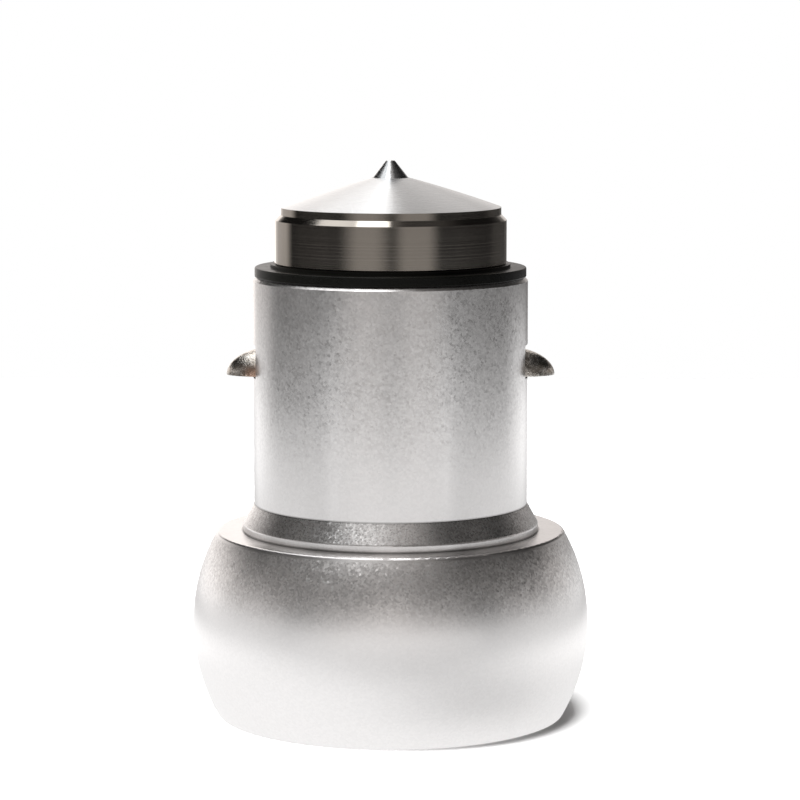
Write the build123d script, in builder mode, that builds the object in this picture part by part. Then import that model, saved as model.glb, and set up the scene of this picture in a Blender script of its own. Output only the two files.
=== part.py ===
from build123d import *
import os

os.makedirs("parts", exist_ok=True)

# All sizes are in millimetres. The charger stands on its USB end with its axis on Z and its tip up.

# Housing, turned from one bar: bell-shaped head, collar and barrel
head_height = 14.17
head_base_radius = 13.2
head_belly_radius = 15.1
head_belly_height = 6.97
head_top_radius = 13.17
head_base_edge = 0.3
head_top_edge = 0.28
collar_radius = 11.25
collar_lip = 0.55
collar_edge = 0.25
collar_height = 2.09
barrel_radius = 10.4
barrel_length = 17.24
barrel_wall = 1.1
barrel_chamfer = 0.27
end_wall = 1.3
rim_width = 1.2
rim_inner_edge = 0.2
seat_width = 0.7
roof_thickness = 1.42

# Face plate that closes the head
face_recess = 0.5
face_thickness = 1.5
face_clearance = 0.05
face_edge = 0.3
skirt_wall = 0.8
skirt_clearance = 0.05
window_clearance = 0.1

# USB sockets, type A
port_width = 12.5
port_height = 5.12
port_pitch = 9.5
port_setback = 0.15
shell_wall = 0.3
shell_corner = 0.4
shell_tail_width = 1.5
shell_tail_inset = 1.2
tongue_width = 11.1
tongue_thickness = 1.84
tongue_offset = 0.64
tongue_setback = 2.0
tongue_edge = 0.3
back_block_depth = 2.2
block_clearance = 0.05
contact_inner_place = 1.0
contact_outer_place = 3.5
contact_width = 1.0
contact_thickness = 0.2
contact_setback = 0.6
contact_toe = 0.6
contact_bow = 0.35
contact_bow_length = 4.0
contact_clearance = 0.05
solder_tail = 0.7
tail_clearance = 0.1

# Circuit boards and the plastic sleeve round them
board_thickness = 1.2
port_board_clearance = 0.3
sleeve_flange = 0.7
sleeve_flange_clearance = 0.2
sleeve_wall = 0.9
sleeve_clearance = 0.1
deck_thickness = 0.9
board_top_groove = 0.3
board_clearance = 0.1
board_neck_step = 1.4
board_neck_drop = 2.55
tenon_width = 6.0

# Ground leaves, each stamped from one strip with a lanced half-dome
leaf_thickness = 0.4
leaf_inset = 0.6
leaf_margin = 0.1
leaf_lap = 0.35
leaf_lift = 0.3
leaf_corner = 0.4
leaf_tab_width = 2.0
leaf_tab_tail = 0.4
leaf_tab_clearance = 0.2
leaf_swing_room = 2.6
leaf_slot_clearance = 0.3
leaf_slot_depth = 0.8
dome_base_radius = 2.1
dome_reach = 2.05
dome_drop = 7.45
window_side_gap = 0.22
window_top_gap = 0.3
window_bottom_gap = 0.15
window_corner = 0.3

# Insulated nose: bush, cap, nut and washer
bush_flange = 0.75
bush_flange_radius = 10.28
bush_flange_edge = 0.12
bush_step = 0.25
bush_step_overhang = 0.3
bush_clearance = 0.1
bush_wall = 1.4
cap_radius = 8.78
cap_skirt = 3.3
cap_shoulder = 0.41
cap_band = 0.55
crown_height = 2.2
crown_bulge = 0.07
cap_foot_edge = 0.1
shank_radius = 5.0
shank_clearance = 0.1
shank_bore_radius = 3.2
shank_tail = 0.2
nut_flats = 13.0
nut_thickness = 1.2
nut_edge = 0.2
thread_clearance = 0.05
washer_radius = 8.6
washer_thickness = 0.5

# Sprung centre pin
pin_radius = 1.36
pin_clearance = 0.05
pin_point = 1.3
pin_blunt_radius = 0.32
pin_blunt_edge = 0.15
pin_flange_clearance = 0.1
pin_flange_thickness = 1.4
pin_stop_depth = 2.45
pin_stop_gap = 0.05
pin_guide_length = 1.7
pin_guide_clearance = 0.35
spring_wire = 0.45
spring_clearance = 0.45
spring_turns = 5
terminal_flange = 0.5
terminal_lip = 0.15
terminal_stem_radius = 1.25
terminal_stem_clearance = 0.1

# Parts soldered to the main board
part_gap = 0.2
part_edge = 0.15
can_radius = 2.0
can_height = 4.6
can_groove = 0.25
can_groove_height = 0.9
can_base = 4.3
can_base_height = 0.8
can_base_corner = 0.8
can_row_height = 3.0
coil_size = 5.0
coil_height = 2.8
coil_corner = 1.0
coil_boss_radius = 2.0
coil_boss_height = 0.25
chip_width = 3.9
chip_length = 4.9
chip_height = 1.4
chip_standoff = 0.1
chip_lead_width = 0.45
chip_lead_reach = 0.9
chip_lead_thickness = 0.25
chip_lead_pitch = 1.27
chip_leads = 4
diode_width = 2.6
diode_length = 4.2
diode_height = 2.1
fuse_width = 2.5
fuse_length = 4.5
fuse_height = 1.6
end_cap_length = 0.8
end_cap_relief = 0.1

# Heights up the axis
collar_lip_top = head_height + collar_lip
collar_top = head_height + collar_height
barrel_top = collar_top + barrel_length
end_wall_bottom = barrel_top - end_wall
roof_bottom = head_height - roof_thickness
face_seat = face_recess + face_thickness
port_mouth = face_recess + port_setback
port_board_top = roof_bottom - sleeve_flange
port_board_bottom = port_board_top - board_thickness
tail_top = port_board_top + solder_tail
bush_top = barrel_top + bush_flange
cap_bottom = bush_top + bush_step
cap_band_bottom = cap_bottom + cap_skirt + cap_shoulder
crown_bottom = cap_band_bottom + cap_band
crown_top = crown_bottom + crown_height
pin_stop = crown_top - pin_stop_depth
pin_flange_top = pin_stop - pin_stop_gap
pin_flange_bottom = pin_flange_top - pin_flange_thickness
washer_bottom = end_wall_bottom - washer_thickness
nut_bottom = washer_bottom - nut_thickness
shank_bottom = nut_bottom - shank_tail
deck_top = shank_bottom - terminal_flange
deck_bottom = deck_top - deck_thickness
main_board_top = deck_bottom + board_top_groove
dome_base = barrel_top - dome_drop
dome_top = dome_base + dome_base_radius
leaf_top = dome_top + leaf_lap
leaf_bottom = port_board_top + leaf_lift
board_neck = dome_base - board_neck_drop

# Radii and half-widths that follow from the sizes above
mouth_radius = head_base_radius - rim_width
cavity_radius = mouth_radius - seat_width
bore_radius = barrel_radius - barrel_wall
skirt_radius = cavity_radius - skirt_clearance
port_board_radius = cavity_radius - port_board_clearance
sleeve_flange_radius = cavity_radius - sleeve_flange_clearance
sleeve_outer = bore_radius - sleeve_clearance
sleeve_inner = sleeve_outer - sleeve_wall
leaf_outer = bore_radius - leaf_inset
leaf_inner = leaf_outer - leaf_thickness
leaf_half_width = dome_base_radius + leaf_margin
leaf_slot_half_width = leaf_half_width + leaf_slot_clearance
dome_length = barrel_radius + dome_reach - leaf_outer
board_half_width = leaf_inner - leaf_swing_room
bush_bore = shank_radius + shank_clearance
spigot_radius = bush_bore + bush_wall
end_hole_radius = spigot_radius + bush_clearance
cap_band_radius = cap_radius - cap_shoulder
pin_hole_radius = pin_radius + pin_clearance
pin_flange_radius = shank_bore_radius - pin_flange_clearance
spring_radius = shank_bore_radius - spring_clearance - spring_wire / 2
pin_guide_radius = spring_radius - spring_wire / 2 - pin_guide_clearance
terminal_radius = spring_radius + spring_wire / 2 + terminal_lip
stem_hole_radius = terminal_stem_radius + terminal_stem_clearance
shell_width = port_width + 2 * shell_wall
shell_height = port_height + 2 * shell_wall
contact_places = (-contact_outer_place, -contact_inner_place, contact_inner_place, contact_outer_place)

# The two faces of the main board, with local X across the board and local Y up the axis
board_front = Plane.XZ.offset(board_thickness / 2)
board_rear = Plane(origin=(0, board_thickness / 2, 0), x_dir=(-1, 0, 0), z_dir=(0, 1, 0))


def corner(section, across, up):
    return section.vertices().sort_by_distance((across, up))[0]


def keep(piece, name):
    piece.part.label = name
    export_step(piece.part, f"parts/{name}.step")


# Housing
with BuildPart() as housing:
    with BuildSketch(Plane.XZ) as housing_section:
        with BuildLine():
            ThreePointArc(
                (head_base_radius, 0),
                (head_belly_radius, head_belly_height),
                (head_top_radius, head_height),
            )
            Polyline(
                (head_top_radius, head_height),
                (collar_radius, head_height),
                (collar_radius, collar_lip_top),
                (barrel_radius, collar_top),
                (barrel_radius, barrel_top),
                (end_hole_radius, barrel_top),
                (end_hole_radius, end_wall_bottom),
                (bore_radius, end_wall_bottom),
                (bore_radius, roof_bottom),
                (cavity_radius, roof_bottom),
                (cavity_radius, face_seat),
                (mouth_radius, face_seat),
                (mouth_radius, 0),
                (head_base_radius, 0),
            )
        make_face()
        fillet(corner(housing_section, head_base_radius, 0), head_base_edge)
        fillet(corner(housing_section, head_top_radius, head_height), head_top_edge)
        fillet(corner(housing_section, collar_radius, collar_lip_top), collar_edge)
        chamfer(corner(housing_section, barrel_radius, barrel_top), barrel_chamfer)
        chamfer(corner(housing_section, mouth_radius, 0), rim_inner_edge)
    revolve(axis=Axis.Z)
    with BuildSketch(Plane.YZ):
        with Locations((0, (dome_base - window_bottom_gap + dome_top + window_top_gap) / 2)):
            RectangleRounded(
                2 * (dome_base_radius + window_side_gap),
                dome_base_radius + window_bottom_gap + window_top_gap,
                window_corner,
            )
    extrude(amount=head_belly_radius, both=True, mode=Mode.SUBTRACT)
keep(housing, "housing")

# Black bush that carries the cap and keeps it off the barrel
with BuildPart() as nose_insulator:
    with BuildSketch(Plane.XZ) as bush_section:
        with BuildLine():
            Polyline(
                (bush_bore, end_wall_bottom),
                (spigot_radius, end_wall_bottom),
                (spigot_radius, barrel_top),
                (bush_flange_radius, barrel_top),
                (bush_flange_radius, bush_top),
                (cap_radius + bush_step_overhang, bush_top),
                (cap_radius + bush_step_overhang, cap_bottom),
                (bush_bore, cap_bottom),
                close=True,
            )
        make_face()
        fillet(corner(bush_section, bush_flange_radius, barrel_top), bush_flange_edge)
        fillet(corner(bush_section, bush_flange_radius, bush_top), bush_flange_edge)
    revolve(axis=Axis.Z)
keep(nose_insulator, "nose_insulator")

# Cap with its hollow shank
with BuildPart() as contact_cap:
    with BuildSketch(Plane.XZ) as cap_section:
        with BuildLine():
            SagittaArc((cap_band_radius, crown_bottom), (pin_hole_radius, crown_top), -crown_bulge)
            Polyline(
                (pin_hole_radius, crown_top),
                (pin_hole_radius, pin_stop),
                (shank_bore_radius, pin_stop),
                (shank_bore_radius, shank_bottom),
                (shank_radius, shank_bottom),
                (shank_radius, cap_bottom),
                (cap_radius, cap_bottom),
                (cap_radius, cap_bottom + cap_skirt),
                (cap_band_radius, cap_band_bottom),
                (cap_band_radius, crown_bottom),
            )
        make_face()
        chamfer(corner(cap_section, cap_radius, cap_bottom), cap_foot_edge)
    revolve(axis=Axis.Z)
keep(contact_cap, "contact_cap")

# Pointed pin that slides in the cap
with BuildPart() as centre_pin:
    with BuildSketch(Plane.XZ) as pin_section:
        with BuildLine():
            Polyline(
                (0, crown_top + pin_point),
                (pin_blunt_radius, crown_top + pin_point),
                (pin_radius, crown_top),
                (pin_radius, pin_flange_top),
                (pin_flange_radius, pin_flange_top),
                (pin_flange_radius, pin_flange_bottom),
                (pin_guide_radius, pin_flange_bottom),
                (pin_guide_radius, pin_flange_bottom - pin_guide_length),
                (0, pin_flange_bottom - pin_guide_length),
                close=True,
            )
        make_face()
        fillet(corner(pin_section, pin_blunt_radius, crown_top + pin_point), pin_blunt_edge)
    revolve(axis=Axis.Z)
keep(centre_pin, "centre_pin")

# Coil spring between the pin's flange and the positive terminal
spring_rise = pin_flange_bottom - shank_bottom - spring_wire
with BuildPart() as pin_spring:
    with BuildLine() as coil_path:
        Helix(
            pitch=spring_rise / spring_turns,
            height=spring_rise,
            radius=spring_radius,
            center=(0, 0, shank_bottom + spring_wire / 2),
        )
    with BuildSketch(Plane(origin=coil_path.line @ 0, z_dir=coil_path.line % 0)):
        Circle(spring_wire / 2)
    sweep(is_frenet=True)
keep(pin_spring, "pin_spring")

# Brass button under the spring, with a stem that reaches the main board
with BuildPart() as positive_terminal:
    with BuildSketch(Plane.XZ):
        with BuildLine():
            Polyline(
                (0, shank_bottom),
                (terminal_radius, shank_bottom),
                (terminal_radius, deck_top),
                (terminal_stem_radius, deck_top),
                (terminal_stem_radius, main_board_top),
                (0, main_board_top),
                close=True,
            )
        make_face()
    revolve(axis=Axis.Z)
keep(positive_terminal, "positive_terminal")

# Nut and washer that clamp the nose to the barrel's end wall
with BuildPart() as retaining_nut:
    with BuildSketch(Plane.XY.offset(nut_bottom)):
        RegularPolygon(nut_flats / 2, 6, major_radius=False)
        Circle(shank_radius + thread_clearance, mode=Mode.SUBTRACT)
    extrude(amount=nut_thickness)
    chamfer(retaining_nut.edges().filter_by(GeomType.LINE).filter_by(Plane.XY), nut_edge)
keep(retaining_nut, "retaining_nut")

with BuildPart() as insulating_washer:
    with BuildSketch(Plane.XY.offset(washer_bottom)):
        Circle(washer_radius)
        Circle(bush_bore, mode=Mode.SUBTRACT)
    extrude(amount=washer_thickness)
keep(insulating_washer, "insulating_washer")

# Plastic cup that lines the barrel, open at the sides where the leaves swing
with BuildPart() as insulating_sleeve:
    with BuildSketch(Plane.XZ):
        with BuildLine():
            Polyline(
                (sleeve_inner, port_board_top),
                (sleeve_flange_radius, port_board_top),
                (sleeve_flange_radius, roof_bottom),
                (sleeve_outer, roof_bottom),
                (sleeve_outer, deck_top),
                (stem_hole_radius, deck_top),
                (stem_hole_radius, deck_bottom),
                (sleeve_inner, deck_bottom),
                close=True,
            )
        make_face()
    revolve(axis=Axis.Z)
    with BuildSketch(Plane.XY.offset(port_board_top)):
        Rectangle(2 * bore_radius, 2 * leaf_slot_half_width)
        Rectangle(2 * (leaf_inner - leaf_slot_depth), 2 * leaf_slot_half_width, mode=Mode.SUBTRACT)
    extrude(amount=deck_bottom - port_board_top, mode=Mode.SUBTRACT)
    with BuildSketch(Plane.XY.offset(deck_bottom)):
        Rectangle(
            2 * (board_half_width - board_neck_step + board_clearance),
            board_thickness + 2 * board_clearance,
        )
    extrude(amount=board_top_groove, mode=Mode.SUBTRACT)
keep(insulating_sleeve, "insulating_sleeve")

# Ground leaves: a flat strip with a solder tab, and the half-dome lanced out of it
with BuildPart() as ground_spring_right:
    with BuildSketch(Plane.YZ.offset(leaf_inner)):
        with BuildLine():
            Polyline(
                (-leaf_half_width, leaf_bottom),
                (-leaf_tab_width / 2, leaf_bottom),
                (-leaf_tab_width / 2, port_board_bottom - leaf_tab_tail),
                (leaf_tab_width / 2, port_board_bottom - leaf_tab_tail),
                (leaf_tab_width / 2, leaf_bottom),
                (leaf_half_width, leaf_bottom),
                (leaf_half_width, leaf_top),
                (-leaf_half_width, leaf_top),
                close=True,
            )
        make_face()
    extrude(amount=leaf_thickness)
    fillet(ground_spring_right.edges().filter_by(Axis.X).group_by(Axis.Z)[-1], leaf_corner)
    dome_axis = Axis((leaf_outer, 0, dome_base), (1, 0, 0))
    with BuildSketch(Plane.XY.offset(dome_base)):
        with BuildLine():
            EllipticalCenterArc((leaf_outer, 0), dome_length, dome_base_radius)
            Polyline(
                (leaf_outer, dome_base_radius),
                (leaf_outer, 0),
                (leaf_outer + dome_length, 0),
            )
        make_face()
    revolve(axis=dome_axis, revolution_arc=180)
    with BuildSketch(Plane.XY.offset(dome_base)):
        with BuildLine():
            EllipticalCenterArc(
                (leaf_outer, 0), dome_length - leaf_thickness, dome_base_radius - leaf_thickness
            )
            Polyline(
                (leaf_outer, dome_base_radius - leaf_thickness),
                (leaf_inner, dome_base_radius - leaf_thickness),
                (leaf_inner, 0),
                (leaf_outer + dome_length - leaf_thickness, 0),
            )
        make_face()
    revolve(axis=dome_axis, revolution_arc=180, mode=Mode.SUBTRACT)
keep(ground_spring_right, "ground_spring_right")

with BuildPart() as ground_spring_left:
    mirror(ground_spring_right.part, about=Plane.YZ)
keep(ground_spring_left, "ground_spring_left")

# Face plate, with a skirt that holds the port board up against the sleeve
with BuildPart() as face_plate:
    with BuildSketch(Plane.XY.offset(face_recess)):
        Circle(mouth_radius - face_clearance)
    extrude(amount=face_thickness)
    chamfer(face_plate.edges().filter_by(GeomType.CIRCLE).sort_by(Axis.Z)[0], face_edge)
    with BuildSketch(Plane.XY.offset(face_seat)):
        Circle(skirt_radius)
        Circle(skirt_radius - skirt_wall, mode=Mode.SUBTRACT)
    extrude(amount=port_board_bottom - face_seat)
    with BuildSketch(Plane.XY.offset(face_recess)):
        with Locations((0, -port_pitch / 2), (0, port_pitch / 2)):
            RectangleRounded(
                shell_width + 2 * window_clearance,
                shell_height + 2 * window_clearance,
                shell_corner + shell_wall + window_clearance,
            )
    extrude(amount=port_board_bottom - face_recess, mode=Mode.SUBTRACT)
keep(face_plate, "face_plate")

# Port board, with slots for everything that is soldered through it
shell_tail_place = (shell_width - shell_wall) / 2
leaf_middle = (leaf_inner + leaf_outer) / 2
with BuildPart() as port_board:
    with BuildSketch(Plane.XY.offset(port_board_bottom)):
        Circle(port_board_radius)
        Rectangle(
            tenon_width + 2 * board_clearance,
            board_thickness + 2 * board_clearance,
            mode=Mode.SUBTRACT,
        )
        with Locations((-leaf_middle, 0), (leaf_middle, 0)):
            Rectangle(
                leaf_thickness + 2 * leaf_tab_clearance,
                leaf_tab_width + 2 * leaf_tab_clearance,
                mode=Mode.SUBTRACT,
            )
        for side in (-1, 1):
            tail_level = side * (port_pitch / 2 - shell_tail_inset)
            contact_level = side * (
                (port_pitch - port_height) / 2 + tongue_offset + tongue_thickness + contact_thickness / 2
            )
            with Locations((-shell_tail_place, tail_level), (shell_tail_place, tail_level)):
                Rectangle(
                    shell_wall + 2 * tail_clearance,
                    shell_tail_width + 2 * tail_clearance,
                    mode=Mode.SUBTRACT,
                )
            with Locations(*[(place, contact_level) for place in contact_places]):
                Rectangle(
                    contact_width + 2 * tail_clearance,
                    contact_thickness + 2 * tail_clearance,
                    mode=Mode.SUBTRACT,
                )
    extrude(amount=board_thickness)
keep(port_board, "port_board")

# Main board, narrowed beside the domes, with a tenon in the port board
neck_half_width = board_half_width - board_neck_step
with BuildPart() as main_board:
    with BuildSketch(Plane.XZ):
        with BuildLine():
            Polyline(
                (-tenon_width / 2, port_board_bottom),
                (tenon_width / 2, port_board_bottom),
                (tenon_width / 2, port_board_top),
                (board_half_width, port_board_top),
                (board_half_width, board_neck),
                (neck_half_width, board_neck + board_neck_step),
                (neck_half_width, main_board_top),
                (-neck_half_width, main_board_top),
                (-neck_half_width, board_neck + board_neck_step),
                (-board_half_width, board_neck),
                (-board_half_width, port_board_top),
                (-tenon_width / 2, port_board_top),
                close=True,
            )
        make_face()
    extrude(amount=board_thickness / 2, both=True)
keep(main_board, "main_board")

# USB sockets: folded shell, moulded tongue with its back block, and four contact strips
tongue_front = port_mouth + tongue_setback
block_front = port_board_bottom - back_block_depth
contact_front = tongue_front + contact_setback
for port_name, side in (("front", -1), ("rear", 1)):
    port_place = side * port_pitch / 2
    tail_level = side * (port_pitch / 2 - shell_tail_inset)
    plain_wall = side * (port_pitch - port_height) / 2
    tongue_plain = plain_wall + side * tongue_offset
    tongue_face = tongue_plain + side * tongue_thickness
    strip_face = tongue_face + side * contact_thickness

    with BuildPart() as usb_shell:
        with BuildSketch(Plane.XY.offset(port_mouth)):
            with Locations((0, port_place)):
                RectangleRounded(shell_width, shell_height, shell_corner + shell_wall)
                RectangleRounded(port_width, port_height, shell_corner, mode=Mode.SUBTRACT)
        extrude(amount=port_board_bottom - port_mouth)
        with BuildSketch(Plane.XY.offset(port_board_bottom)):
            with Locations((-shell_tail_place, tail_level), (shell_tail_place, tail_level)):
                Rectangle(shell_wall, shell_tail_width)
        extrude(amount=tail_top - port_board_bottom)
    keep(usb_shell, f"usb_shell_{port_name}")

    with BuildPart() as usb_insulator:
        with BuildSketch(Plane.XY.offset(block_front)):
            with Locations((0, port_place)):
                RectangleRounded(
                    port_width - 2 * block_clearance, port_height - 2 * block_clearance, shell_corner
                )
            with Locations(*[(place, (tongue_face + strip_face) / 2) for place in contact_places]):
                Rectangle(
                    contact_width + 2 * contact_clearance,
                    contact_thickness + 2 * contact_clearance,
                    mode=Mode.SUBTRACT,
                )
        extrude(amount=back_block_depth)
        with BuildSketch(Plane.XY.offset(tongue_front)):
            with Locations((0, (tongue_plain + tongue_face) / 2)):
                Rectangle(tongue_width, tongue_thickness)
        extrude(amount=block_front - tongue_front)
        chamfer(usb_insulator.edges().group_by(Axis.Z)[0], tongue_edge)
    keep(usb_insulator, f"usb_insulator_{port_name}")

    bow_start = contact_front + contact_toe
    bow_end = bow_start + contact_bow_length
    with BuildPart() as usb_contacts:
        for place in contact_places:
            with BuildSketch(Plane.YZ.offset(place - contact_width / 2)):
                with BuildLine():
                    Line((tongue_face, contact_front), (tongue_face, bow_start))
                    SagittaArc((tongue_face, bow_start), (tongue_face, bow_end), -side * contact_bow)
                    Polyline(
                        (tongue_face, bow_end),
                        (tongue_face, tail_top),
                        (strip_face, tail_top),
                        (strip_face, bow_end),
                    )
                    SagittaArc((strip_face, bow_end), (strip_face, bow_start), side * contact_bow)
                    Polyline(
                        (strip_face, bow_start),
                        (strip_face, contact_front),
                        (tongue_face, contact_front),
                    )
                make_face()
            extrude(amount=contact_width)
    keep(usb_contacts, f"usb_contacts_{port_name}")

# Capacitors side by side on the rear face of the main board
can_level = port_board_top + can_row_height + can_base / 2
for can_name, side in (("input_capacitor", 1), ("output_capacitor", -1)):
    with BuildPart() as capacitor:
        can_place = side * (can_base + part_gap) / 2
        with BuildSketch(board_rear):
            with Locations((can_place, can_level)):
                Rectangle(can_base, can_base)
        extrude(amount=can_base_height)
        chamfer(capacitor.edges().filter_by(Axis.Y).sort_by(Axis.Z)[-2:], can_base_corner)
        with BuildSketch(board_rear.offset(can_base_height)):
            with Locations((can_place, can_level)):
                Circle(can_radius)
        extrude(amount=can_height)
        with BuildSketch(board_rear.offset(can_base_height + can_groove_height)):
            with Locations((can_place, can_level)):
                Circle(can_radius)
                Circle(can_radius - can_groove, mode=Mode.SUBTRACT)
        extrude(amount=can_groove, mode=Mode.SUBTRACT)
    keep(capacitor, can_name)

# Choke and converter chip side by side on the front face
front_level = port_board_top + can_row_height + coil_size / 2
with BuildPart() as power_inductor:
    coil_place = -(coil_size + part_gap) / 2
    with BuildSketch(board_front):
        with Locations((coil_place, front_level)):
            RectangleRounded(coil_size, coil_size, coil_corner)
    extrude(amount=coil_height)
    with BuildSketch(board_front.offset(coil_height)):
        with Locations((coil_place, front_level)):
            Circle(coil_boss_radius)
    extrude(amount=coil_boss_height)
keep(power_inductor, "power_inductor")

with BuildPart() as converter_chip:
    chip_place = chip_width / 2 + chip_lead_reach + part_gap / 2
    with BuildSketch(board_front.offset(chip_standoff)):
        with Locations((chip_place, front_level)):
            Rectangle(chip_width, chip_length)
    extrude(amount=chip_height)
    chamfer(converter_chip.edges().group_by(Axis.Y)[0], part_edge)
    with BuildSketch(board_front):
        with Locations((chip_place, front_level)):
            with GridLocations(0, chip_lead_pitch, 1, chip_leads):
                Rectangle(chip_width + 2 * chip_lead_reach, chip_lead_width)
    extrude(amount=chip_lead_thickness)
keep(converter_chip, "converter_chip")

# Diode and fuse above them, each a moulded body between two metal ends
upper_level = front_level + coil_size / 2 + part_gap
for chip_name, side, width, length, height in (
    ("rectifier_diode", -1, diode_width, diode_length, diode_height),
    ("fuse", 1, fuse_width, fuse_length, fuse_height),
):
    with BuildPart() as block:
        block_place = (side * (width + part_gap) / 2, upper_level + length / 2)
        with BuildSketch(board_front):
            with Locations(block_place):
                Rectangle(width, length)
        extrude(amount=height)
        with BuildSketch(board_front):
            with Locations(block_place):
                Rectangle(width, length - 2 * end_cap_length)
                Rectangle(width - 2 * end_cap_relief, length - 2 * end_cap_length, mode=Mode.SUBTRACT)
        extrude(amount=height, mode=Mode.SUBTRACT)
        chamfer(block.edges().filter_by(Axis.X).group_by(Axis.Y)[0], part_edge)
    keep(block, chip_name)
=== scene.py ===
import math

import bpy
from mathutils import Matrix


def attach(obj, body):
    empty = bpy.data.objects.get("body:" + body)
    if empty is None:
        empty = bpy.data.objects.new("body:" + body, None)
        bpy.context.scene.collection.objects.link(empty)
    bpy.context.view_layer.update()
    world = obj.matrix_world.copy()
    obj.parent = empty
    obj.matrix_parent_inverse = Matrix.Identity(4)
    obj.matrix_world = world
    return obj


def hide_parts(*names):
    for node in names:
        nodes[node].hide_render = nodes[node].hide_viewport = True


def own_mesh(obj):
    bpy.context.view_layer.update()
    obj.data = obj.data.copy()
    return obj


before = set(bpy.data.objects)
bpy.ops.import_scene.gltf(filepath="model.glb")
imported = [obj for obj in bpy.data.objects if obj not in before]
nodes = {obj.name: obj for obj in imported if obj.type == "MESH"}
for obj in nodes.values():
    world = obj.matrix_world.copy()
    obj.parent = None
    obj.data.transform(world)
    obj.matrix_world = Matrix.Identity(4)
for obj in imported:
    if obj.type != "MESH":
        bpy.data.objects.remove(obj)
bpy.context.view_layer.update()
scene = bpy.context.scene
scene.view_settings.view_transform = "Standard"
bpy.ops.object.select_all(action="DESELECT")
print("charger loaded,", len(nodes), "nodes")

# camera, as far off and as high as the rims in the photo say
cameraSet = {
    "place": (0.00072, -0.23261, 0.05279),
    "tiltDown": 7.0406,
    "lens": 138.67,
    "sensor": 36,
}
bpy.ops.object.camera_add(
    location=cameraSet["place"],
    rotation=(math.radians(90 - cameraSet["tiltDown"]), 0, 0),
)
camera = bpy.context.object
camera.name = "camera"
camera.data.lens = cameraSet["lens"]
camera.data.sensor_width = cameraSet["sensor"]
scene.camera = camera
print("camera set")


# node helpers
def addNode(tree, kind, **values):
    node = tree.nodes.new(kind)
    for key, value in values.items():
        if hasattr(node, key):
            setattr(node, key, value)
        else:
            node.inputs[key.replace("_", " ")].default_value = value
    return node


def wire(tree, source, target):
    tree.links.new(source, target)


def calc(tree, operation, first, second=None, third=None):
    node = addNode(tree, "ShaderNodeMath", operation=operation)
    for place, value in enumerate((first, second, third)):
        if value is None:
            continue
        if isinstance(value, (int, float)):
            node.inputs[place].default_value = value
        else:
            wire(tree, value, node.inputs[place])
    return node.outputs[0]


def remap(tree, value, fromMin, fromMax, toMin, toMax):
    node = addNode(tree, "ShaderNodeMapRange", interpolation_type="SMOOTHSTEP")
    wire(tree, value, node.inputs["Value"])
    ends = {"From Min": fromMin, "From Max": fromMax, "To Min": toMin, "To Max": toMax}
    for socket, number in ends.items():
        node.inputs[socket].default_value = number
    return node.outputs["Result"]


def mixColour(tree, factor, low, high):
    node = addNode(tree, "ShaderNodeMix", data_type="RGBA", clamp_factor=False)
    wire(tree, factor, node.inputs["Factor"])
    for socket, value in ((node.inputs[6], low), (node.inputs[7], high)):
        if isinstance(value, tuple):
            socket.default_value = (*value, 1)
        else:
            wire(tree, value, socket)
    return node.outputs[2]


def mixValue(tree, factor, low, high):
    node = addNode(tree, "ShaderNodeMix", data_type="FLOAT")
    for place, value in ((0, factor), (2, low), (3, high)):
        if isinstance(value, (int, float)):
            node.inputs[place].default_value = value
        else:
            wire(tree, value, node.inputs[place])
    return node.outputs[0]


# studio: soft-edged patches of light that the metal mirrors, in degrees: each is
# at an azimuth from the camera (right is plus) and an elevation, and has a half
# width, a half height and a soft edge
roomColour = (0.012, 0.012, 0.0115)
glowColour = (1.0, 0.945, 0.91)
glowSets = [
    {"name": "windowLeft", "at": (-24, 4), "half": (18, 15), "soft": 12, "level": 0.42},
    {"name": "windowMiddle", "at": (0, 15), "half": (10, 10), "soft": 8, "level": 0.72},
    {"name": "windowRight", "at": (26, 4), "half": (18, 15), "soft": 9, "level": 0.36},
    {"name": "windowHigh", "at": (0, 50), "half": (35, 12), "soft": 12, "level": 0.33},
    {"name": "sideLeft", "at": (-75, 6), "half": (33, 12), "soft": 10, "level": 0.03},
    {"name": "shoulderLeft", "at": (-62, 27), "half": (28, 8), "soft": 8, "level": 0.18},
    {"name": "shoulderRight", "at": (62, 26), "half": (28, 8), "soft": 8, "level": 0.13},
    {"name": "flankLeft", "at": (-95, 10), "half": (30, 6), "soft": 3, "level": 0.46},
    {"name": "flankRight", "at": (98, 10), "half": (30, 6), "soft": 3, "level": 0.34},
    {"name": "cornerLeft", "at": (-140, 2), "half": (20, 12), "soft": 8, "level": 0.62},
    {"name": "cornerRight", "at": (142, 6), "half": (20, 15), "soft": 10, "level": 0.06},
    {"name": "cornerLeftHigh", "at": (-138, 9), "half": (25, 7), "soft": 4, "level": 0.30},
    {"name": "cornerRightHigh", "at": (138, 9), "half": (25, 7), "soft": 4, "level": 0.22},
    {"name": "paperLeft", "at": (-170, 18), "half": (10, 26), "soft": 1.5, "level": 1.25},
    {"name": "paperRight", "at": (172, 14), "half": (8, 16), "soft": 1.5, "level": 0.74},
    {"name": "paperRightHigh", "at": (172, 38), "half": (12, 9), "soft": 3, "level": 0.75},
    {"name": "edgeLeft", "at": (-163, -3), "half": (10, 9), "soft": 6, "level": 0.5},
    {"name": "edgeRight", "at": (166, -3), "half": (8, 9), "soft": 6, "level": 0.10},
    {"name": "ceilingFront", "at": (0, 70), "half": (45, 12), "soft": 10, "level": 0.48},
    {"name": "ceilingRight", "at": (90, 70), "half": (45, 12), "soft": 10, "level": 0.06},
    {"name": "ceilingBack", "at": (180, 70), "half": (45, 12), "soft": 10, "level": 0.5},
]
world = bpy.data.worlds.new("studio")
scene.world = world
world.use_nodes = True
world.cycles_visibility.diffuse = False  # the paper is lit by the lamps alone
sky = world.node_tree
sky.nodes.clear()
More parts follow.
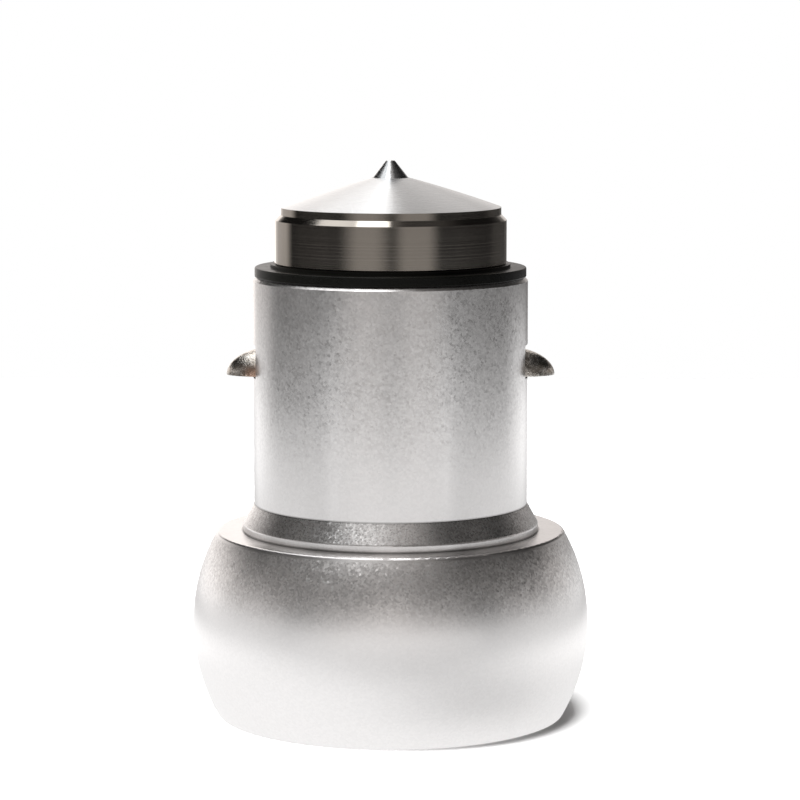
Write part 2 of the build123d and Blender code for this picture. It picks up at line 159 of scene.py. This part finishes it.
skyCoords = addNode(sky, "ShaderNodeTexCoord")
skyAxes = addNode(sky, "ShaderNodeSeparateXYZ")
wire(sky, skyCoords.outputs["Generated"], skyAxes.inputs[0])
skyX, skyY, skyZ = skyAxes.outputs
skyTurn = calc(sky, "ARCTAN2", skyX, calc(sky, "MULTIPLY", skyY, -1.0))
skyRise = calc(sky, "ARCSINE", skyZ)


def window(away, half, soft):
    return remap(sky, away, math.radians(half - soft), math.radians(half + soft), 1, 0)


skyTotal = 0.0
for glowSet in glowSets:
    azimuth, elevation = (math.radians(angle) for angle in glowSet["at"])
    wide, high = glowSet["half"]
    aside = calc(sky, "WRAP", calc(sky, "SUBTRACT", skyTurn, azimuth), math.pi, -math.pi)
    above = calc(sky, "SUBTRACT", skyRise, elevation)
    share = calc(
        sky, "MULTIPLY",
        window(calc(sky, "ABSOLUTE", aside), wide, glowSet["soft"]),
        window(calc(sky, "ABSOLUTE", above), high, glowSet["soft"]),
    )
    skyTotal = calc(sky, "MULTIPLY_ADD", share, glowSet["level"], skyTotal)
skyColour = mixColour(sky, skyTotal, roomColour, glowColour)
skyRays = addNode(sky, "ShaderNodeLightPath")
shownSky = mixColour(sky, skyRays.outputs["Is Camera Ray"], skyColour, (1.0, 1.0, 1.0))
skyLight = addNode(sky, "ShaderNodeBackground")
wire(sky, shownSky, skyLight.inputs["Color"])
skyOut = addNode(sky, "ShaderNodeOutputWorld")
wire(sky, skyLight.outputs[0], skyOut.inputs["Surface"])

# lamps: onPaper is False where a lamp only shows in the metal, mirrored is False
# where it only lights the paper and the plastic
lampSets = [
    {"name": "softboxBack", "place": (-0.13, 0.165, 0.40), "aim": (-0.13, 0.165, 0.0),
     "size": (0.26, 0.33), "power": 0.41, "onPaper": False},
    {"name": "softboxFront", "place": (-0.14, -0.165, 0.40), "aim": (-0.14, -0.165, 0.0),
     "size": (0.28, 0.33), "power": 0.26, "onPaper": False},
    {"name": "keyLamp", "place": (-0.058, -0.01, 0.38), "aim": (-0.058, -0.01, 0.0),
     "size": (0.105, 0.10), "power": 0.085, "onPaper": False},
    {"name": "overheadFill", "place": (0.03, -0.20, 1.0), "aim": (0.03, -0.20, 0.0),
     "size": (0.34, 0.34), "power": 9.2, "mirrored": False},
    {"name": "sideFill", "place": (-0.40, -0.12, 0.20), "aim": (0.0, 0.0, 0.0),
     "size": (0.25, 0.25), "power": 3.3, "mirrored": False},
    {"name": "cardLeft", "place": (-0.060, 0.018, 0.0075), "aim": (0.0, 0.018, 0.0075),
     "size": (0.165, 0.015), "power": 0.0048, "onPaper": False},
    {"name": "cardRight", "place": (0.060, 0.018, 0.0075), "aim": (0.0, 0.018, 0.0075),
     "size": (0.165, 0.015), "power": 0.0044, "onPaper": False},
    {"name": "cardFront", "place": (0.0, -0.060, 0.0075), "aim": (0.0, 0.0, 0.0075),
     "size": (0.13, 0.015), "power": 0.0041, "onPaper": False},
    {"name": "cardLeftHigh", "place": (-0.060, 0.065, 0.0185), "aim": (0.0, 0.065, 0.0185),
     "size": (0.08, 0.011), "power": 0.0006, "onPaper": False},
    {"name": "cardRightHigh", "place": (0.060, 0.065, 0.0185), "aim": (0.0, 0.065, 0.0185),
     "size": (0.08, 0.011), "power": 0.0009, "onPaper": False},
]


def addLamp(lampSet):
    bpy.ops.object.light_add(type="AREA", location=lampSet["place"])
    lamp = bpy.context.object
    lamp.name = lampSet["name"]
    lamp.data.shape = "RECTANGLE"
    lamp.data.size, lamp.data.size_y = lampSet["size"]
    lamp.data.energy = lampSet["power"]
    run = [a - b for a, b in zip(lampSet["aim"], lampSet["place"])]
    flat = math.hypot(run[0], run[1])
    lamp.visible_camera = False
    lamp.visible_glossy = lampSet.get("mirrored", True)
    lamp.visible_diffuse = lampSet.get("onPaper", True)
    turn = math.atan2(run[1], run[0]) - math.pi / 2 if flat else 0
    lamp.rotation_euler = (math.atan2(flat, -run[2]), 0, turn)


for lampSet in lampSets:
    addLamp(lampSet)

# floor: white paper, shown a little lighter to the camera than it is
floorSet = {"front": -0.22, "back": 0.22, "side": 0.26, "colour": 0.90, "shown": 1.5, "ringSoft": 0.2}
paintedContactShadow = {  # painted shadow: the paper darkened close to the head on its right, as the camera sees it
    "from": 0.0132,
    "to": 0.0150,
    "towards": (0.95, -0.3),
    "narrow": 6.0,
    "depth": 0.66,
}
paperGlows = [  # the paper as the metal mirrors it, in rings about the axis; a shade takes light off
    {"name": "nearLeft", "from": 0.0, "to": 0.028, "towards": (-1, 0), "level": 1.10},
    {"name": "nearRight", "from": 0.0, "to": 0.028, "towards": (1, 0), "level": 1.05},
    {"name": "nearShade", "from": 0.0155, "to": 0.028, "towards": (0.56, -0.83), "narrow": 10.0,
     "level": -0.30},
    {"name": "middle", "from": 0.028, "to": 0.060, "level": 1.08},
    {"name": "middleShade", "from": 0.028, "to": 0.060, "towards": (0.2, -0.98), "narrow": 6.0,
     "level": -0.38},
    {"name": "middleBack", "from": 0.028, "to": 0.060, "towards": (0, 1), "level": 0.35},
    {"name": "wideBack", "from": 0.060, "to": 0.110, "towards": (0, 1), "narrow": 10.0,
     "level": 0.9},
    {"name": "farFront", "from": 0.110, "to": 0.21, "towards": (0, -1), "level": 0.72},
    {"name": "farLeft", "from": 0.120, "to": 0.24, "towards": (-1, 0), "level": 0.12},
    {"name": "farRight", "from": 0.140, "to": 0.25, "towards": (1, 0), "level": 0.37},
    {"name": "farBack", "from": 0.110, "to": 0.26, "towards": (0, 1), "narrow": 4.0,
     "level": 0.85},
]
bpy.ops.mesh.primitive_plane_add(size=1, location=(0, 0, 0))
floor = bpy.context.object
floor.name = "floor"
bpy.ops.object.mode_set(mode="EDIT")
bpy.ops.transform.resize(value=(2 * floorSet["side"], floorSet["back"] - floorSet["front"], 1))
bpy.ops.transform.translate(value=(0, (floorSet["back"] + floorSet["front"]) / 2, 0))
bpy.ops.object.mode_set(mode="OBJECT")
paper = bpy.data.materials.new("floorPaper")
paper.use_nodes = True
paperTree = paper.node_tree
paperTree.nodes.clear()
paperRays = addNode(paperTree, "ShaderNodeLightPath")
paperCoords = addNode(paperTree, "ShaderNodeTexCoord")
paperWay = addNode(paperTree, "ShaderNodeVectorMath", operation="NORMALIZE")
paperLength = addNode(paperTree, "ShaderNodeVectorMath", operation="LENGTH")
paperSides = addNode(paperTree, "ShaderNodeSeparateXYZ")
wire(paperTree, paperCoords.outputs["Object"], paperWay.inputs[0])
wire(paperTree, paperCoords.outputs["Object"], paperLength.inputs[0])
wire(paperTree, paperWay.outputs[0], paperSides.inputs[0])
paperAway = paperLength.outputs["Value"]


def paperRing(radius, inside, outside):
    soft = floorSet["ringSoft"]
    return remap(paperTree, paperAway, (1 - soft) * radius, (1 + soft) * radius, inside, outside)


def paperFacing(towards, narrow):
    alongX = calc(paperTree, "MULTIPLY", paperSides.outputs[0], 0.5 * towards[0])
    alongY = calc(paperTree, "MULTIPLY", paperSides.outputs[1], 0.5 * towards[1])
    facing = calc(paperTree, "ADD", calc(paperTree, "ADD", alongX, alongY), 0.5)
    return calc(paperTree, "POWER", facing, narrow)


paperTotal = 0.0
for glowSet in paperGlows:
    share = paperRing(glowSet["to"], 1, 0)
    if glowSet["from"]:
        share = calc(paperTree, "MULTIPLY", share, paperRing(glowSet["from"], 0, 1))
    if "towards" in glowSet:
        facing = paperFacing(glowSet["towards"], glowSet.get("narrow", 1.0))
        share = calc(paperTree, "MULTIPLY", share, facing)
    paperTotal = calc(paperTree, "MULTIPLY_ADD", share, glowSet["level"], paperTotal)
# painted shadow: the camera's paper colour is darkened in a ring beside the head, most on its right
paintedShadowDepth = remap(paperTree, paperAway, paintedContactShadow["from"], paintedContactShadow["to"], -paintedContactShadow["depth"], 0)
contactFacing = paperFacing(paintedContactShadow["towards"], paintedContactShadow["narrow"])
paintedShadowKeep = calc(paperTree, "MULTIPLY_ADD", paintedShadowDepth, contactFacing, 1.0)
shownTone = calc(paperTree, "MULTIPLY", paintedShadowKeep, floorSet["colour"] * floorSet["shown"])
paperTone = mixValue(paperTree, paperRays.outputs["Is Camera Ray"], floorSet["colour"], shownTone)
paperTone = mixValue(paperTree, paperRays.outputs["Is Glossy Ray"], paperTone, 0.0)
paperFace = addNode(paperTree, "ShaderNodeBsdfDiffuse")
wire(paperTree, paperTone, paperFace.inputs["Color"])
mirrored = calc(paperTree, "MULTIPLY", paperTotal, paperRays.outputs["Is Glossy Ray"])
paperGlow = addNode(paperTree, "ShaderNodeEmission")
wire(paperTree, mirrored, paperGlow.inputs["Strength"])
paperSum = addNode(paperTree, "ShaderNodeAddShader")
wire(paperTree, paperFace.outputs[0], paperSum.inputs[0])
wire(paperTree, paperGlow.outputs[0], paperSum.inputs[1])
paperOut = addNode(paperTree, "ShaderNodeOutputMaterial")
wire(paperTree, paperSum.outputs[0], paperOut.inputs["Surface"])
floor.data.materials.append(paper)
print("studio set")


# shared effects
def newGroup(name, inputs, outputs):
    tree = bpy.data.node_groups.new(name, "ShaderNodeTree")
    for label, kind, value in inputs:
        socket = tree.interface.new_socket(name=label, in_out="INPUT", socket_type=kind)
        socket.default_value = value
    for label, kind in outputs:
        tree.interface.new_socket(name=label, in_out="OUTPUT", socket_type=kind)
    return tree, addNode(tree, "NodeGroupInput"), addNode(tree, "NodeGroupOutput")


# mottle: two scales of soft noise, for colour and gloss that vary over a surface
mottle, mottleIn, mottleOut = newGroup(
    "mottle",
    [
        ("Coarse", "NodeSocketFloat", 300.0),
        ("Fine", "NodeSocketFloat", 6000.0),
        ("Fine Share", "NodeSocketFloat", 0.5),
    ],
    [("Value", "NodeSocketFloat")],
)
mottleCoords = addNode(mottle, "ShaderNodeTexCoord")
coarseNoise = addNode(mottle, "ShaderNodeTexNoise", Detail=3.0, Roughness=0.55)
fineNoise = addNode(mottle, "ShaderNodeTexNoise", Detail=2.0, Roughness=0.6)
for noise, label in ((coarseNoise, "Coarse"), (fineNoise, "Fine")):
    wire(mottle, mottleCoords.outputs["Object"], noise.inputs["Vector"])
    wire(mottle, mottleIn.outputs[label], noise.inputs["Scale"])
mottleMix = addNode(mottle, "ShaderNodeMix", data_type="FLOAT")
wire(mottle, mottleIn.outputs["Fine Share"], mottleMix.inputs["Factor"])
wire(mottle, coarseNoise.outputs[0], mottleMix.inputs[2])
wire(mottle, fineNoise.outputs[0], mottleMix.inputs[3])
wire(mottle, mottleMix.outputs[0], mottleOut.inputs["Value"])

# blasted: small facets that lean each its own way, as bead blasting leaves them,
# and a few of them much more than the rest
facetSet = {"leanLeast": 0.6, "leanMore": 2.2, "rare": 4.0}
blasted, blastedIn, blastedOut = newGroup(
    "blasted",
    [("Grain", "NodeSocketFloat", 7500.0), ("Lean", "NodeSocketFloat", 0.1)],
    [("Normal", "NodeSocketVector"), ("Shade", "NodeSocketFloat")],
)
blastedCoords = addNode(blasted, "ShaderNodeTexCoord")
facets = addNode(blasted, "ShaderNodeTexVoronoi", feature="F1")
wire(blasted, blastedCoords.outputs["Object"], facets.inputs["Vector"])
wire(blasted, blastedIn.outputs["Grain"], facets.inputs["Scale"])
facetWay = addNode(blasted, "ShaderNodeVectorMath", operation="SUBTRACT")
facetWay.inputs[1].default_value = (0.5, 0.5, 0.5)  # middle of the cells' random colours
wire(blasted, facets.outputs["Color"], facetWay.inputs[0])
facetShade = addNode(blasted, "ShaderNodeSeparateXYZ")
wire(blasted, facets.outputs["Color"], facetShade.inputs[0])
facetRare = calc(blasted, "POWER", facetShade.outputs[2], facetSet["rare"])
facetRare = calc(blasted, "MULTIPLY_ADD", facetRare, facetSet["leanMore"], facetSet["leanLeast"])
facetLean = addNode(blasted, "ShaderNodeVectorMath", operation="SCALE")
wire(blasted, facetWay.outputs[0], facetLean.inputs[0])
wire(blasted, calc(blasted, "MULTIPLY", blastedIn.outputs["Lean"], facetRare), facetLean.inputs["Scale"])
facetFace = addNode(blasted, "ShaderNodeNewGeometry")
facetSum = addNode(blasted, "ShaderNodeVectorMath", operation="ADD")
wire(blasted, facetFace.outputs["Normal"], facetSum.inputs[0])
wire(blasted, facetLean.outputs[0], facetSum.inputs[1])
facetNormal = addNode(blasted, "ShaderNodeVectorMath", operation="NORMALIZE")
wire(blasted, facetSum.outputs[0], facetNormal.inputs[0])
wire(blasted, facetNormal.outputs[0], blastedOut.inputs["Normal"])
wire(blasted, facetShade.outputs[0], blastedOut.inputs["Shade"])

# turned: fine rings round the axis, by radius and height, as a lathe tool leaves them
turned, turnedIn, turnedOut = newGroup(
    "turned",
    [("Pitch Scale", "NodeSocketFloat", 9000.0)],
    [("Lines", "NodeSocketFloat"), ("Radius", "NodeSocketFloat"), ("Height", "NodeSocketFloat")],
)
turnedCoords = addNode(turned, "ShaderNodeTexCoord")
turnedAxes = addNode(turned, "ShaderNodeSeparateXYZ")
wire(turned, turnedCoords.outputs["Object"], turnedAxes.inputs[0])
squareX = calc(turned, "MULTIPLY", turnedAxes.outputs["X"], turnedAxes.outputs["X"])
squareY = calc(turned, "MULTIPLY", turnedAxes.outputs["Y"], turnedAxes.outputs["Y"])
ringRadius = calc(turned, "SQRT", calc(turned, "ADD", squareX, squareY))
ringPlace = calc(turned, "SUBTRACT", ringRadius, turnedAxes.outputs["Z"])
ringNoise = addNode(turned, "ShaderNodeTexNoise", noise_dimensions="1D", Detail=4.0, Roughness=0.7)
wire(turned, ringPlace, ringNoise.inputs["W"])
wire(turned, turnedIn.outputs["Pitch Scale"], ringNoise.inputs["Scale"])
wire(turned, ringNoise.outputs[0], turnedOut.inputs["Lines"])
wire(turned, ringRadius, turnedOut.inputs["Radius"])
wire(turned, turnedAxes.outputs["Z"], turnedOut.inputs["Height"])
print("shared effects built")


# finishes: what part of a noise's range is spread over the shades and the gloss
shadeSpan = (0.36, 0.64)
glossSpan = (0.3, 0.7)


def startFinish(name, metallic, **values):
    material = bpy.data.materials.new(name)
    material.use_nodes = True
    tree = material.node_tree
    shader = tree.nodes["Principled BSDF"]
    shader.inputs["Metallic"].default_value = metallic
    for label, value in values.items():
        shader.inputs[label.replace("_", " ")].default_value = value
    return material, tree, shader


def placeGroup(tree, group, **values):
    return addNode(tree, "ShaderNodeGroup", node_tree=group, **values)


def addBump(tree, shader, height, distance):
    bump = addNode(tree, "ShaderNodeBump", Strength=1.0, Distance=distance)
    wire(tree, height, bump.inputs["Height"])
    wire(tree, bump.outputs["Normal"], shader.inputs["Normal"])


def dress(names, material):
    for name in names:
        slots = nodes[name].data.materials
        slots.clear()
        slots.append(material)


# housing: blasted aluminium, with the lip and shoulder of the collar turned bright
housingSet = {
    "dark": (0.815, 0.80, 0.795),
    "light": (0.89, 0.875, 0.87),
    "steps": (0.01389, 0.01472, 0.01626),  # where head, lip, cone and barrel meet
    "stepSoft": 0.00003,
    "rough": {
        "head": (0.345, 0.385),
        "lip": (0.285, 0.31),
        "cone": (0.30, 0.33),
        "barrel": (0.285, 0.32),
    },
    "grain": {"head": 6500.0, "lip": 7000.0, "cone": 9000.0, "barrel": 6000.0},
    "lean": {"head": 0.062, "lip": 0.003, "cone": 0.062, "barrel": 0.026},
    "speckle": {"head": 0.19, "lip": 0.0, "cone": 0.28, "barrel": 0.085},
    "headSmooth": (0.0085, 0.0120),  # the head gets smoother towards its belly
    "headLeast": 0.12,
    "barrelSmooth": (0.0170, 0.0260),  # and the barrel towards its foot
    "barrelLeast": 0.35,
    "paintedCreaseShades": [  # inner corners, darkened in the colour as painted shade
        {"height": 0.01417, "radius": 0.01125, "wide": (0.00005, 0.00017), "shade": 0.42},
        {"height": 0.01626, "radius": 0.01040, "wide": (0.00003, 0.00012), "shade": 0.62},
    ],
}
aluminium, tree, shader = startFinish("blastedAluminium", 1.0)
cloud = placeGroup(tree, mottle, Coarse=250.0, Fine=4200.0, Fine_Share=0.6)
pitted = placeGroup(tree, blasted)
place = placeGroup(tree, turned)
height = place.outputs["Height"]
radius = place.outputs["Radius"]


def byZone(values):
    level = values[0]
    for step, value in zip(housingSet["steps"], values[1:]):
        past = remap(tree, height, step - housingSet["stepSoft"], step + housingSet["stepSoft"], 0, 1)
        level = mixValue(tree, past, level, value)
    return level


def housingLevel(label):
    return byZone(list(housingSet[label].values()))


coarseHead = remap(tree, height, *housingSet["headSmooth"], housingSet["headLeast"], 1)
coarseBarrel = remap(tree, height, *housingSet["barrelSmooth"], housingSet["barrelLeast"], 1)
coarse = byZone([coarseHead, 1.0, 1.0, coarseBarrel])
bloom = calc(tree, "SUBTRACT", remap(tree, cloud.outputs[0], *shadeSpan, 0, 1), 0.5)
bloom = calc(tree, "MULTIPLY_ADD", bloom, coarse, 0.5)
speckle = calc(tree, "MULTIPLY", housingLevel("speckle"), coarse)
offset = calc(tree, "MULTIPLY_ADD", pitted.outputs["Shade"], 2.0, -1.0)
tone = calc(tree, "MULTIPLY_ADD", offset, speckle, 1.0)
# painted shade: the colour is darkened in a narrow band at each inner corner
for paintedCreaseSet in housingSet["paintedCreaseShades"]:
    up = calc(tree, "ABSOLUTE", calc(tree, "SUBTRACT", height, paintedCreaseSet["height"]))
    out = calc(tree, "ABSOLUTE", calc(tree, "SUBTRACT", radius, paintedCreaseSet["radius"]))
    paintedCreaseShade = remap(tree, calc(tree, "MAXIMUM", up, out), *paintedCreaseSet["wide"], paintedCreaseSet["shade"], 1)
    tone = calc(tree, "MULTIPLY", tone, paintedCreaseShade)
housingColour = addNode(tree, "ShaderNodeVectorMath", operation="SCALE")
wire(tree, mixColour(tree, bloom, housingSet["dark"], housingSet["light"]), housingColour.inputs[0])
wire(tree, tone, housingColour.inputs["Scale"])
wire(tree, housingColour.outputs[0], shader.inputs["Base Color"])
roughLevels = [remap(tree, cloud.outputs[0], *glossSpan, *pair) for pair in housingSet["rough"].values()]
wire(tree, byZone(roughLevels), shader.inputs["Roughness"])
wire(tree, housingLevel("grain"), pitted.inputs["Grain"])
wire(tree, calc(tree, "MULTIPLY", housingLevel("lean"), coarse), pitted.inputs["Lean"])
wire(tree, pitted.outputs["Normal"], shader.inputs["Normal"])
dress(["housing"], aluminium)

# cap, pin and nut: turned steel, painted darker on the cap's skirt than on its crown as painted shade, with
# the crown painted lighter and cooler as painted light
capSet = {
    "dark": (0.42, 0.39, 0.35),
    "light": (0.50, 0.462, 0.415),
    "crownDark": (0.69, 0.71, 0.725),
    "crownLight": (0.79, 0.81, 0.825),
    "skirtRough": (0.10, 0.15),
    "crownRough": (0.21, 0.29),
    "crownFrom": 0.0387,
    "crownSoft": 0.0001,
    "lineDepth": 0.0000008,
    "stretch": 0.8,
    "stretchTurn": 0.25,
}
steel, tree, shader = startFinish(
    "turnedSteel", 1.0, Anisotropic=capSet["stretch"], Anisotropic_Rotation=capSet["stretchTurn"]
)
lines = placeGroup(tree, turned)
crownFull = capSet["crownFrom"] + capSet["crownSoft"]
onCrown = remap(tree, lines.outputs["Height"], capSet["crownFrom"], crownFull, 0, 1)
# painted light and shade: lit and shaded copies of the one steel, split by height
shadedSkirtColour = mixColour(tree, lines.outputs["Lines"], capSet["dark"], capSet["light"])
litCrownColour = mixColour(tree, lines.outputs["Lines"], capSet["crownDark"], capSet["crownLight"])
wire(tree, mixColour(tree, onCrown, shadedSkirtColour, litCrownColour), shader.inputs["Base Color"])
skirtRough = remap(tree, lines.outputs["Lines"], *glossSpan, *capSet["skirtRough"])
crownRough = remap(tree, lines.outputs["Lines"], *glossSpan, *capSet["crownRough"])
wire(tree, mixValue(tree, onCrown, skirtRough, crownRough), shader.inputs["Roughness"])
addBump(tree, shader, lines.outputs["Lines"], capSet["lineDepth"])
grainWay = addNode(tree, "ShaderNodeTangent", direction_type="RADIAL", axis="Z")
wire(tree, grainWay.outputs[0], shader.inputs["Tangent"])
dress(["contact_cap", "centre_pin", "retaining_nut"], steel)

# ring under the cap: smooth black plastic
ringSet = {
    "dark": (0.002, 0.002, 0.002),
    "light": (0.005, 0.005, 0.004),
    "rough": (0.26, 0.36),
    "shine": 0.12,
}
blackRing, tree, shader = startFinish("blackRing", 0.0, Specular_IOR_Level=ringSet["shine"])
cloud = placeGroup(tree, mottle, Coarse=400.0, Fine=4000.0)
ringColour = mixColour(tree, cloud.outputs[0], ringSet["dark"], ringSet["light"])
wire(tree, ringColour, shader.inputs["Base Color"])
wire(tree, remap(tree, cloud.outputs[0], *glossSpan, *ringSet["rough"]), shader.inputs["Roughness"])
dress(["nose_insulator"], blackRing)

# side contacts: mottled nickel, worn to the copper beside the left window
contactSet = {
    "dark": (0.60, 0.54, 0.47),
    "light": (0.95, 0.92, 0.87),
    "copper": (0.80, 0.50, 0.36),
    "wornRadius": (0.0107, 0.0116),  # most worn at the first radius and height, not at the second
    "wornHeight": (0.0264, 0.0271),
    "wornMost": 0.8,
    "rough": (0.18, 0.30),
    "waveDepth": 0.000060,
}
nickel, tree, shader = startFinish("brightNickel", 1.0)
cloud = placeGroup(tree, mottle, Coarse=2400.0, Fine=6500.0, Fine_Share=0.35)
mottled = remap(tree, cloud.outputs[0], *shadeSpan, 0, 1)
plating = mixColour(tree, mottled, contactSet["dark"], contactSet["light"])
place = placeGroup(tree, turned)
coords = addNode(tree, "ShaderNodeTexCoord")
axes = addNode(tree, "ShaderNodeSeparateXYZ")
wire(tree, coords.outputs["Object"], axes.inputs[0])
worn = calc(
    tree, "MULTIPLY",
    remap(tree, place.outputs["Radius"], *contactSet["wornRadius"], contactSet["wornMost"], 0),
    remap(tree, place.outputs["Height"], *contactSet["wornHeight"], 1, 0),
)
onLeft = calc(tree, "LESS_THAN", axes.outputs["X"], 0.0)
worn = calc(tree, "MULTIPLY", worn, onLeft)
wire(tree, mixColour(tree, worn, plating, contactSet["copper"]), shader.inputs["Base Color"])
wire(tree, remap(tree, cloud.outputs[0], *glossSpan, *contactSet["rough"]), shader.inputs["Roughness"])
addBump(tree, shader, cloud.outputs[0], contactSet["waveDepth"])
dress(["ground_spring_left", "ground_spring_right"], nickel)

# plain finishes of the inner pieces: two shades, two gloss levels and a fine bump
innerSets = [
    {"name": "springWire", "on": ["pin_spring"], "metal": 1.0,
     "dark": (0.40, 0.39, 0.38), "light": (0.50, 0.49, 0.48), "rough": (0.25, 0.38), "bump": 0.000002},
    {"name": "brassTerminal", "on": ["positive_terminal"], "metal": 1.0,
     "dark": (0.68, 0.53, 0.25), "light": (0.80, 0.65, 0.34), "rough": (0.22, 0.34), "bump": 0.000002},
    {"name": "linerPlastic", "on": ["insulating_sleeve", "insulating_washer"], "metal": 0.0,
     "dark": (0.04, 0.04, 0.044), "light": (0.06, 0.06, 0.065), "rough": (0.45, 0.6), "bump": 0.000006},
    {"name": "facePlastic", "on": ["face_plate"], "metal": 0.0,
     "dark": (0.018, 0.018, 0.02), "light": (0.032, 0.032, 0.035), "rough": (0.42, 0.58), "bump": 0.000010},
    {"name": "boardMask", "on": ["port_board", "main_board"], "metal": 0.0,
     "dark": (0.022, 0.13, 0.055), "light": (0.04, 0.19, 0.085), "rough": (0.3, 0.45), "bump": 0.000004},
    {"name": "tinPlate", "on": ["usb_shell_front", "usb_shell_rear"], "metal": 1.0,
     "dark": (0.60, 0.60, 0.59), "light": (0.72, 0.72, 0.71), "rough": (0.25, 0.4), "bump": 0.000003},
    {"name": "socketPlastic", "on": ["usb_insulator_front", "usb_insulator_rear"], "metal": 0.0,
     "dark": (0.80, 0.80, 0.78), "light": (0.88, 0.88, 0.86), "rough": (0.4, 0.55), "bump": 0.000004},
    {"name": "contactGold", "on": ["usb_contacts_front", "usb_contacts_rear"], "metal": 1.0,
     "dark": (0.78, 0.60, 0.28), "light": (0.88, 0.72, 0.40), "rough": (0.2, 0.32), "bump": 0.000002},
    {"name": "chipPlastic", "on": ["converter_chip", "rectifier_diode"], "metal": 0.0,
     "dark": (0.022, 0.022, 0.022), "light": (0.04, 0.04, 0.04), "rough": (0.5, 0.65), "bump": 0.000006},
    {"name": "ferriteBlock", "on": ["power_inductor"], "metal": 0.0,
     "dark": (0.08, 0.08, 0.088), "light": (0.12, 0.12, 0.13), "rough": (0.55, 0.75), "bump": 0.000010},
    {"name": "canSkin", "on": ["input_capacitor", "output_capacitor"], "metal": 1.0,
     "dark": (0.64, 0.64, 0.65), "light": (0.76, 0.76, 0.77), "rough": (0.25, 0.4), "bump": 0.000003},
    {"name": "fuseCeramic", "on": ["fuse"], "metal": 0.0,
     "dark": (0.74, 0.70, 0.58), "light": (0.82, 0.78, 0.66), "rough": (0.35, 0.5), "bump": 0.000004},
]
for innerSet in innerSets:
    finish, tree, shader = startFinish(innerSet["name"], innerSet["metal"])
    cloud = placeGroup(tree, mottle, Coarse=500.0, Fine=6000.0)
    innerColour = mixColour(tree, cloud.outputs[0], innerSet["dark"], innerSet["light"])
    wire(tree, innerColour, shader.inputs["Base Color"])
    wire(tree, remap(tree, cloud.outputs[0], *glossSpan, *innerSet["rough"]), shader.inputs["Roughness"])
    addBump(tree, shader, cloud.outputs[0], innerSet["bump"])
    dress(innerSet["on"], finish)
print("finishes placed")

# pin spring: a copy of the CAD coil, put on the charger in place of the hidden CAD one
springSet = {"travel": 0.00122, "merge": 0.0000001}  # travel is a little over the pin's own
coil = bpy.data.objects.new("coilSpring", nodes["pin_spring"].data.copy())
scene.collection.objects.link(coil)
bpy.ops.object.select_all(action="DESELECT")
bpy.context.view_layer.objects.active = coil
coil.select_set(True)
bpy.ops.object.mode_set(mode="EDIT")
bpy.ops.mesh.select_all(action="SELECT")
bpy.ops.mesh.remove_doubles(threshold=springSet["merge"])
bpy.ops.object.mode_set(mode="OBJECT")
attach(coil, "charger")
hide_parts("pin_spring")
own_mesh(coil)
print("pin spring placed")

print("done")
